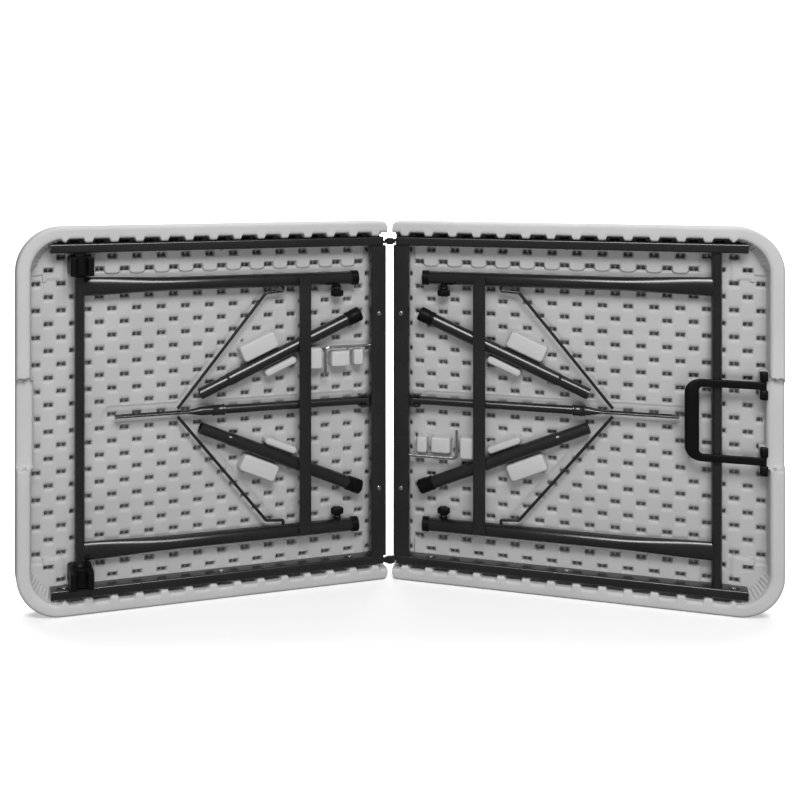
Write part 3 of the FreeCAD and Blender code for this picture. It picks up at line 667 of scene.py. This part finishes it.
def half_top_blocks(side):
    plans = block_corners()
    base = FLOOR - BLOCK_SINK
    parts = [mound(plan, base, BLOCK_TOP, radius=7.0, edge=3.5, draft=1.2) for plan in plans[:4]]
    parts += [mound(plan, base, BLOCK_TOP, radius=5.0, edge=3.5, draft=1.0) for plan in plans[4:7]]
    if side == "right":
        for arm in (CENTRE - HANDLE_V, CENTRE + HANDLE_V):
            near, far = arm - PIN_PAD_V, arm + PIN_PAD_V
            parts.append(block(*PIN_PAD_U, near, far, base, PAD_TOP, radius=2.0, edge=1.0, draft=0.2))
    near, far = FOLD_STRIP_V, WIDTH - FOLD_STRIP_V
    parts.append(block(*FOLD_STRIP_U, near, far, base, FOLD_STRIP_TOP, radius=2.0, edge=1.0, draft=0.3))
    return parts


def half_top(side, material):
    """The moulding in two pieces: the rim with the tabletop, and the tray floor with its blocks."""
    rim = piece(f"{side}_moulded_rim", rim_shell(), side, material, sharp=50)
    floor, painted_shades = floor_shell()
    part = joined([floor] + half_top_blocks(side))
    tray = piece(f"{side}_moulded_tray", part, side, material, sharp=50)
    # the hollow attribute carries painted shade to the plastic material: dark in the dimples, light over the
    # floor, none on the rim or blocks
    depth = tray.data.attributes.new("hollow", "FLOAT", "POINT")
    values = np.zeros(len(part[0]), np.float32)
    values[:len(painted_shades)] = painted_shades
    depth.data.foreach_set("value", values)
    for made in (rim, tray):
        stand_for(made, f"{side}_half", "moulded_plastic", f"{side}_top_panel")


# ---- steel sections ----

def rounded_corner_points(points, radii, steps=4):
    """A closed polyline with its corners rounded."""
    made = []
    for i, radius in enumerate(radii):
        middle, ways = corner_arc(points, i, radius, steps)
        made += [middle + way * radius for way in ways]
    return made


def side_rail():
    """A channel with rounded bends, open towards the floor."""
    v0, v1 = RAIL_V
    w0, w1 = RAIL_W
    t = RAIL_WALL
    outside = [(v0, w0), (v0, w1), (v1, w1), (v1, w0)]
    within = [(v1 - t, w0), (v1 - t, w1 - t), (v0 + t, w1 - t), (v0 + t, w0)]
    outer_radii = [RAIL_EDGE, RAIL_BEND, RAIL_BEND, RAIL_EDGE]
    inner_radii = [RAIL_EDGE, RAIL_BEND - t, RAIL_BEND - t, RAIL_EDGE]
    outline = rounded_corner_points(outside + within, outer_radii + inner_radii)
    return extruded(outline[::-1], *RAIL_U)


def rounded_rectangle(u0, u1, w0, w1, radius):
    return rounded_corner_points([(u0, w0), (u1, w0), (u1, w1), (u0, w1)], [radius] * 4)


def cross_bar():
    """A flat solid bar along v, over both legs."""
    outline = rounded_rectangle(*CROSS_BAR_U, *CROSS_BAR_W, CROSS_BAR_EDGE)
    reach = LEG_V + CROSS_BAR_OVER
    return loft([along_v(outline, v) for v in (CENTRE - reach, CENTRE + reach)])


def centre_rail():
    """A box section with rounded bends, between the two side rails."""
    u0, u1 = CENTRE_RAIL_U
    w0, w1 = CENTRE_RAIL_W
    t = RAIL_WALL
    outer = rounded_rectangle(u0, u1, w0, w1, RAIL_BEND)
    inner = rounded_rectangle(u0 + t, u1 - t, w0 + t, w1 - t, RAIL_BEND - t)
    low, high = RAIL_V[1], WIDTH - RAIL_V[1]
    return closed_loft([along_v(outer, low), along_v(outer, high), along_v(inner, high), along_v(inner, low)])


# ---- turned and swept parts ----

def turned_rings(profile, start, axis, steps, lobes=0, lobe_depth=0.0):
    """A profile of (distance along, radius) turned about an axis; the outermost rings may be lobed."""
    axis = np.array(axis, float) / np.linalg.norm(axis)
    skew = (0.31, 0.17, 0.94)
    side = np.cross(axis, skew)
    side /= np.linalg.norm(side)
    other = np.cross(axis, side)
    largest = max(r for _, r in profile)
    rings = []
    for along, radius in profile:
        ring = []
        for k in range(steps):
            angle = 2 * math.pi * k / steps
            r = radius
            if lobes and radius > 0.7 * largest:
                r -= lobe_depth * (0.5 - 0.5 * math.cos(lobes * angle)) ** 1.6
            way = side * math.cos(angle) + other * math.sin(angle)
            ring.append(np.array(start) + axis * along + way * r)
        rings.append(ring)
    return rings


def turned_part(profile, start, axis, steps=32, **lobes):
    return loft(turned_rings(profile, start, axis, steps, **lobes))


def turned_ring(profile, start, axis, steps=32):
    """Like turned_part, for a profile that closes on itself round a bore."""
    return closed_loft(turned_rings(profile, start, axis, steps))


def leg_tube():
    """A leg tube above the centre line: open at its tip, pressed flat and wide at the pivot tube."""
    v = CENTRE + LEG_V
    tip, end = LEG_U
    back, trim = LEG_CHAMFER
    round_part = [(tip + LEG_BORE_DEPTH, LEG_BORE_R), (tip + back, LEG_BORE_R), (tip, LEG_BORE_R + trim),
                  (tip, LEG_R - trim), (tip + back, LEG_R), (FLARE_U[0], LEG_R)]
    stations = [(u, r, r) for u, r in round_part]
    for k in range(1, FLARE_STEPS + 1):
        share = k / FLARE_STEPS
        wide, flat = (LEG_R + (half - LEG_R) * smoothstep(share) for half in FLARE_HALF)
        stations.append((FLARE_U[0] + (FLARE_U[1] - FLARE_U[0]) * share, wide, flat))
    stations.append((end, *FLARE_HALF))
    rings = []
    for u, half_v, half_w in stations:
        angles = [2 * math.pi * k / 40 for k in range(40)]
        rings.append([(u, v + half_v * math.cos(a), TUBE_W + half_w * math.sin(a)) for a in angles])
    return loft(rings)


def thumb_knob():
    """The lobed knob of the upper leg's thumb screw, with its hub."""
    thick = KNOB_THICK
    profile = [(-2.5, HUB_R - 1.0), (-2.3, HUB_R - 0.2), (0.0, HUB_R),
               (0.2, KNOB_R - 1.2), (1.0, KNOB_R - 0.3), (1.8, KNOB_R),
               (thick - 2.0, KNOB_R), (thick - 0.8, KNOB_R - 0.5), (thick, KNOB_R - 2.0),
               (thick, HUB_R - 0.8), (thick - 1.0, HUB_R - 1.8)]
    return turned_part(profile, KNOB_FACE, (0, -1, 0), steps=60, lobes=6, lobe_depth=KNOB_LOBE)


def thumb_thread():
    """The threaded shank between the knob and the leg."""
    root = THREAD_R - THREAD_DEPTH
    profile = [(THREAD_FROM - THREAD_PITCH / 2, root)]
    for k in range(THREAD_TURNS):
        along = THREAD_FROM + k * THREAD_PITCH
        profile += [(along, root), (along + THREAD_PITCH / 2, THREAD_R)]
    profile.append((THREAD_FROM + THREAD_TURNS * THREAD_PITCH, root - 0.1))
    return turned_part(profile, KNOB_FACE, (0, 1, 0), steps=24)


def foot_cap():
    """A moulded foot over the outer end of a stored leg extension, with two grip ribs."""
    length = math.dist(EXTENSION_OUTER, EXTENSION_INNER)
    start = (*extension_point(length - FOOT_LENGTH), EXTENSION_W)
    stop = (*extension_point(length), EXTENSION_W)
    axis = np.array(stop) - np.array(start)
    profile = [(FOOT_LENGTH - FOOT_BASE, FOOT_BORE_R), (0.0, FOOT_BORE_R),
               (0.0, FOOT_R - 0.9), (0.8, FOOT_R - 0.2), (3.0, FOOT_R - 0.2)]
    for rib in FOOT_RIBS:
        profile += [(rib, FOOT_R - 0.7), (rib + 1.4, FOOT_R - 0.7), (rib + 2.0, FOOT_R - 0.1)]
    profile += [(FOOT_LENGTH - 2.6, FOOT_R), (FOOT_LENGTH - 1.0, FOOT_R - 0.6), (FOOT_LENGTH, FOOT_R - 2.2)]
    return turned_part(profile, start, axis, steps=40)


def lock_ring(side):
    """A short sleeve round the brace tube with rolled ends."""
    bore, r = RING_R
    length = RING_LENGTH
    roll = RING_ROLL
    profile = [(0.0, bore + 0.4), (0.5, bore), (length - 0.5, bore), (length, bore + 0.4),
               (length, r - 0.6), (length - 0.6, r), (length - roll, r), (length - roll - 0.6, r - 0.5),
               (roll + 0.6, r - 0.5), (roll, r), (0.6, r), (0.0, r - 0.6)]
    return turned_ring(profile, (RING_U[side] - length / 2, CENTRE, TUBE_W), (1, 0, 0), steps=40)


def bored_block(centre, half_u, low, high, bore, v0, v1, chamfer):
    """A block with chamfered ends along v and a round bore through it; centre is the bore's u and w."""
    count = 48
    outline, hole = [], []
    for k in range(count):
        c, s = math.cos(2 * math.pi * k / count), math.sin(2 * math.pi * k / count)
        tall = high if s > 0 else -low
        reach = min(half_u / max(abs(c), 1e-6), tall / max(abs(s), 1e-6), math.hypot(half_u, tall) - 1.5)
        outline.append((c * reach, s * reach))
        hole.append((c * bore, s * bore))
    shrink = 1 - chamfer / half_u
    stations = ((outline, shrink, v0), (outline, 1, v0 + chamfer), (outline, 1, v1 - chamfer),
                (outline, shrink, v1), (hole, 1, v1), (hole, 1, v0))
    return closed_loft([
        along_v([(centre[0] + a * k, centre[1] + b * k) for a, b in ring], v) for ring, k, v in stations
    ])


def latch_clip():
    """A clip above the centre line: a block round the pivot tube, two jaws and a tapering collar."""
    v0, v1 = CENTRE + CLIP_V[0], CENTRE + CLIP_V[1]
    cut = CLIP_CHAMFER
    bearing = bored_block((PIVOT_U, TUBE_W), CLIP_HALF_U, FLOOR - TUBE_W, CLIP_BEARING_TOP,
                          PIVOT_BORE_R, v0, v1, cut)
    jaws = []
    for inset, v in ((cut, v1), (0.0, v1 - cut), (0.0, v0 + cut), (cut, v0)):
        out, gap, top, foot = CLIP_HALF_U - inset, CLIP_SLOT + inset, CLIP_TOP - inset, CLIP_SLOT_BASE - inset
        corners = [(-out, CLIP_BASE), (out, CLIP_BASE), (out, top), (gap, top), (gap, foot),
                   (-gap, foot), (-gap, top), (-out, top)]
        points = rounded_corner_points(corners, [1.0, 1.0, 3.0, 2.5, 6.0, 6.0, 2.5, 3.0], 5)
        jaws.append([(PIVOT_U + a, v, w) for a, w in points])
    collar = turned_ring(
        [(0.0, PIVOT_BORE_R), (5.0, PIVOT_BORE_R), (5.0, 9.2), (3.4, 10.6), (1.2, 12.4), (0.0, 12.8)],
        (PIVOT_U, v0 + 0.2, TUBE_W), (0, -1, 0),
    )
    return joined([bearing, loft(jaws), collar])


def handle_saddles():
    """Four saddles that hold the handle's cross pins down, one on each side of each arm."""
    parts = []
    inner, outer = SADDLE_V
    for arm in (CENTRE - HANDLE_V, CENTRE + HANDLE_V):
        for near, far in ((arm - outer, arm - inner), (arm + inner, arm + outer)):
            parts.append(bored_block((HANDLE_U[1], HANDLE_PIVOT_W), SADDLE_HALF_U, PAD_TOP - HANDLE_PIVOT_W,
                                     SADDLE_TOP, SADDLE_BORE, near, far, chamfer=1.0))
    return joined(parts)


def handle_part():
    """The handle: a U of flat strip that swells into an oval grip, with a cross pin on each arm."""
    r = HANDLE_CORNER
    grip_u, end_u = HANDLE_U
    low, high = CENTRE - HANDLE_V, CENTRE + HANDLE_V
    stations = []
    for u in np.linspace(end_u, grip_u + r, 12):
        stations.append(((u, low), (0.0, -1.0), 0.0))
    for k in range(1, 10):
        angle = math.radians(90 * k / 10)
        place = (grip_u + r - r * math.sin(angle), low + r - r * math.cos(angle))
        stations.append((place, (-math.sin(angle), -math.cos(angle)), smoothstep(k / 10)))
    for v in np.linspace(low + r, high - r, 16):
        stations.append(((grip_u, v), (-1.0, 0.0), 1.0))
    for k in range(1, 10):
        angle = math.radians(90 * k / 10)
        place = (grip_u + r - r * math.cos(angle), high - r + r * math.sin(angle))
        stations.append((place, (-math.cos(angle), math.sin(angle)), smoothstep(1 - k / 10)))
    for u in np.linspace(grip_u + r, end_u, 12):
        stations.append(((u, high), (0.0, 1.0), 0.0))
    rings = []
    for (u, v), way, grip in stations:
        across, thick = (half + swell * grip for half, swell in zip(STRIP_HALF, GRIP_SWELL))
        power = 2 / (STRIP_POWER - GRIP_ROUNDING * grip)
        ring = []
        for k in range(28):
            angle = 2 * math.pi * k / 28
            c, s = math.cos(angle), math.sin(angle)
            a = across * math.copysign(abs(c) ** power, c)
            b = thick * math.copysign(abs(s) ** power, s)
            ring.append((u + way[0] * a, v + way[1] * a, HANDLE_W + b))
        rings.append(ring)
    parts = [loft(rings)]
    half_pin = [(0.0, PIN_R - 1.0), (0.6, PIN_R - 0.2), (1.6, PIN_R)]
    profile = half_pin + [(PIN_LENGTH - along, r) for along, r in reversed(half_pin)]
    for v in (low, high):
        parts.append(turned_part(profile, (end_u, v - PIN_LENGTH / 2, HANDLE_PIVOT_W), (0, 1, 0)))
    return joined(parts)


# ---- materials ----

def new_material(name, colour, roughness, metallic=0.0, specular=0.5):
    material = bpy.data.materials.new(name)
    material.use_nodes = True
    nodes, links = material.node_tree.nodes, material.node_tree.links
    shader = nodes["Principled BSDF"]
    shader.inputs["Base Color"].default_value = (*colour, 1)
    shader.inputs["Roughness"].default_value = roughness
    shader.inputs["Metallic"].default_value = metallic
    shader.inputs["Specular IOR Level"].default_value = specular
    return material, nodes, links, shader


def noise(nodes, links, scale, detail=3.0):
    place = nodes.new("ShaderNodeTexCoord")
    made = nodes.new("ShaderNodeTexNoise")
    made.inputs["Scale"].default_value = scale
    made.inputs["Detail"].default_value = detail
    links.new(place.outputs["Object"], made.inputs["Vector"])
    return made


def ramp(nodes, links, source, low, high):
    """Turns a 0 to 1 value into a mix of two colours."""
    made = nodes.new("ShaderNodeValToRGB")
    made.color_ramp.elements[0].position = 0.3
    made.color_ramp.elements[1].position = 0.7
    made.color_ramp.elements[0].color = (*low, 1)
    made.color_ramp.elements[1].color = (*high, 1)
    links.new(source, made.inputs["Fac"])
    return made


def bump(nodes, links, shader, sources):
    """Chains bump nodes: (height socket, strength, distance) each."""
    last = None
    for height, strength, distance in sources:
        made = nodes.new("ShaderNodeBump")
        made.inputs["Strength"].default_value = strength
        made.inputs["Distance"].default_value = distance
        links.new(height, made.inputs["Height"])
        if last is not None:
            links.new(last.outputs["Normal"], made.inputs["Normal"])
        last = made
    links.new(last.outputs["Normal"], shader.inputs["Normal"])


def plastic_material():
    """Light grey blow-moulded plastic: fine grain, faint mottling, and painted shade from the hollow
    attribute, dark inside the dimples and light over the tray floor.
    """
    material, nodes, links, shader = new_material("moulded_plastic", (0.6, 0.6, 0.6), 0.5, specular=0.3)
    mottle = noise(nodes, links, 9.0, 4.0)
    tint = ramp(nodes, links, mottle.outputs["Fac"], (0.53, 0.53, 0.535), (0.60, 0.60, 0.602))
    # painted shade: the hollow attribute multiplies the mottled colour towards this dark grey
    hollow = nodes.new("ShaderNodeAttribute")
    hollow.attribute_name = "hollow"
    painted_shade_mix = nodes.new("ShaderNodeMix")
    painted_shade_mix.data_type = "RGBA"
    painted_shade_mix.blend_type = "MULTIPLY"
    links.new(hollow.outputs["Fac"], painted_shade_mix.inputs["Factor"])
    links.new(tint.outputs["Color"], painted_shade_mix.inputs[6])
    painted_shade_mix.inputs[7].default_value = (0.42, 0.41, 0.405, 1)
    links.new(painted_shade_mix.outputs[2], shader.inputs["Base Color"])
    grain = noise(nodes, links, 1400.0, 2.0)
    pebble = noise(nodes, links, 320.0, 3.0)
    bump(nodes, links, shader, [
        (grain.outputs["Fac"], 0.12, 0.0004), (pebble.outputs["Fac"], 0.10, 0.0006),
    ])
    return material


def steel_material():
    """Charcoal powder coat over steel: fine orange peel and slightly uneven gloss."""
    material, nodes, links, shader = new_material(
        "coated_steel", (0.016, 0.016, 0.017), 0.24, specular=0.85)
    patches = noise(nodes, links, 14.0, 4.0)
    tint = ramp(nodes, links, patches.outputs["Fac"], (0.011, 0.011, 0.012), (0.016, 0.016, 0.017))
    links.new(tint.outputs["Color"], shader.inputs["Base Color"])
    gloss = nodes.new("ShaderNodeMapRange")
    gloss.inputs["To Min"].default_value = 0.23
    gloss.inputs["To Max"].default_value = 0.31
    links.new(patches.outputs["Fac"], gloss.inputs["Value"])
    links.new(gloss.outputs["Result"], shader.inputs["Roughness"])
    peel = noise(nodes, links, 900.0, 2.0)
    bump(nodes, links, shader, [(peel.outputs["Fac"], 0.10, 0.0003)])
    return material


def black_plastic_material():
    """Black moulded plastic with a matte grain."""
    material, nodes, links, shader = new_material(
        "black_plastic", (0.005, 0.005, 0.005), 0.42, specular=0.15)
    grain = noise(nodes, links, 1600.0, 2.0)
    tint = ramp(nodes, links, grain.outputs["Fac"], (0.004, 0.004, 0.0045), (0.007, 0.007, 0.0075))
    links.new(tint.outputs["Color"], shader.inputs["Base Color"])
    bump(nodes, links, shader, [(grain.outputs["Fac"], 0.25, 0.0004)])
    return material


def zinc_material():
    """Bright zinc plate with faint drawing marks."""
    material, nodes, links, shader = new_material("zinc_steel", (0.72, 0.73, 0.75), 0.24, metallic=1.0)
    marks = noise(nodes, links, 260.0, 3.0)
    tint = ramp(nodes, links, marks.outputs["Fac"], (0.62, 0.63, 0.66), (0.80, 0.80, 0.81))
    links.new(tint.outputs["Color"], shader.inputs["Base Color"])
    bump(nodes, links, shader, [(marks.outputs["Fac"], 0.12, 0.0003)])
    return material


MATERIALS = {
    "moulded_plastic": plastic_material(),
    "coated_steel": steel_material(),
    "black_plastic": black_plastic_material(),
    "zinc_steel": zinc_material(),
}


def paint_cad_nodes():
    """Gives every CAD node the material of the slot that slot_of picks from its name."""
    for name, node in frame["nodes"].items():
        node.data.materials.clear()
        node.data.materials.append(MATERIALS[slot_of(name)])


def slot_of(name):
    if "top_panel" in name:
        return "moulded_plastic"
    if any(word in name for word in ("rail_screws", "draw_bolt", "brace_pin")):
        return "zinc_steel"
    if any(word in name for word in ("latch_clip", "handle", "thumb_screw", "foot_cap", "leg_collars")):
        return "black_plastic"
    return "coated_steel"


# ---- making the object ----

def dress_half(side):
    steel, black = MATERIALS["coated_steel"], MATERIALS["black_plastic"]
    half_top(side, MATERIALS["moulded_plastic"])
    body = f"{side}_half"
    low, high = ("upper", "lower") if side == "left" else ("lower", "upper")
    for where, turned in ((high, lambda part: part), (low, mirrored)):
        rail = piece(f"{side}_bent_rail_{where}", turned(mirrored(side_rail())), side, steel)
        stand_for(rail, body, "coated_steel", f"{side}_side_rail_{where}")
        leg = piece(f"{side}_pressed_leg_{where}", turned(leg_tube()), side, steel)
        stand_for(leg, f"{side}_leg_frame", "coated_steel", f"{side}_leg_tube_{where}")
        foot = piece(f"{side}_ribbed_foot_{where}", turned(foot_cap()), side, black)
        stand_for(foot, body, "black_plastic", f"{side}_foot_cap_{where}")
        screw = f"{side}_thumb_screw_{where}"
        knob = piece(f"{side}_lobed_knob_{where}", turned(thumb_knob()), side, black)
        stand_for(knob, screw, "black_plastic", screw)
        thread = piece(f"{side}_knob_thread_{where}", turned(thumb_thread()), side, MATERIALS["zinc_steel"])
        stand_for(thread, screw, "zinc_steel")
        if side == "left":
            clip = piece(f"{side}_jawed_clip_{where}", turned(latch_clip()), side, black)
            stand_for(clip, body, "black_plastic", f"latch_clip_{where}")
    middle = piece(f"{side}_bent_centre_rail", centre_rail(), side, steel)
    stand_for(middle, body, "coated_steel", f"{side}_centre_rail")
    bar = piece(f"{side}_flat_cross_bar", cross_bar(), side, steel)
    stand_for(bar, f"{side}_leg_frame", "coated_steel", f"{side}_cross_bar")
    ring = piece(f"{side}_rolled_ring", lock_ring(side), side, steel)
    stand_for(ring, f"{side}_lock_ring", "coated_steel", f"{side}_lock_ring")


paint_cad_nodes()
for half in SIDES:
    dress_half(half)
handle = piece("grip_handle", handle_part(), "right", MATERIALS["black_plastic"])
stand_for(handle, "carry_handle", "black_plastic", "carry_handle")
saddles = piece("pin_saddles", handle_saddles(), "right", MATERIALS["black_plastic"])
stand_for(saddles, "right_half", "black_plastic", "handle_saddles")


# ---- stage, light and camera ----

def make_stage():
    """A pale floor that curves up into a backdrop."""
    steps = 12
    profile = [(STAGE_FRONT, 0.0), (STAGE_BACK, 0.0)]
    for k in range(1, steps + 1):
        angle = math.pi / 2 * k / steps
        profile.append((STAGE_BACK + STAGE_BEND * math.sin(angle), STAGE_BEND - STAGE_BEND * math.cos(angle)))
    profile.append((STAGE_BACK + STAGE_BEND, STAGE_TOP))
    verts = [(x, y, z) for y, z in profile for x in (-STAGE_HALF, STAGE_HALF)]
    faces = [(2 * i, 2 * i + 1, 2 * i + 3, 2 * i + 2) for i in range(len(profile) - 1)]
    mesh = bpy.data.meshes.new("stage_floor")
    mesh.from_pydata(verts, [], faces)
    mesh.polygons.foreach_set("use_smooth", [True] * len(mesh.polygons))
    material, _, _, shader = new_material("stage_white", (0.8, 0.8, 0.8), 0.9, specular=0.1)
    shader.inputs["Emission Color"].default_value = (1, 1, 1, 1)
    shader.inputs["Emission Strength"].default_value = 0.40
    mesh.materials.append(material)
    stage = bpy.data.objects.new("stage_floor", mesh)
    stage.visible_diffuse = False
    stage.visible_glossy = False
    bpy.context.scene.collection.objects.link(stage)


def area_light(name, place, target, size, power):
    data = bpy.data.lights.new(name, "AREA")
    data.shape = "RECTANGLE"
    data.size, data.size_y = size
    data.energy = power
    light = bpy.data.objects.new(name, data)
    light.location = place
    light.visible_camera = False
    light.rotation_mode = "QUATERNION"
    light.rotation_quaternion = (Vector(target) - Vector(place)).to_track_quat("-Z", "Y")
    bpy.context.scene.collection.objects.link(light)
    return light


def make_light():
    world = bpy.data.worlds.new("studio")
    bpy.context.scene.world = world
    world.use_nodes = True
    background = world.node_tree.nodes["Background"]
    background.inputs["Color"].default_value = (1, 1, 1, 1)
    background.inputs["Strength"].default_value = 0.13
    area_light("key_front", (0.1, -1.85, 2.15), TABLE_MIDDLE, size=(1.5, 0.8), power=49)
    bounce = area_light("floor_bounce", (0.0, -1.3, 0.03), (0, 0.05, 0.3), size=(3.0, 0.5), power=12)
    back = area_light("back_fill", (0.6, 2.0, 1.9), TABLE_MIDDLE, size=(1.6, 1.0), power=30)
    wash = area_light("backdrop_wash", (0.0, 1.2, 3.4), (0, 3.8, 1.4), size=(6.0, 1.2), power=420)
    for light in (bounce, back, wash):
        light.visible_glossy = False


def make_camera():
    """Level camera in front of the V, with the lens shifted down onto the table."""
    data = bpy.data.cameras.new("camera")
    data.sensor_width = 36.0
    data.lens = LENS
    data.shift_x, data.shift_y = LENS_SHIFT
    camera = bpy.data.objects.new("camera", data)
    camera.location = (EYE[0], FOLD_PLACE.y + EYE[1], EYE[2])
    camera.rotation_euler = (math.pi / 2, 0, 0)
    bpy.context.scene.collection.objects.link(camera)
    bpy.context.scene.camera = camera


make_stage()
make_light()
make_camera()
bpy.context.scene.view_settings.view_transform = "Standard"
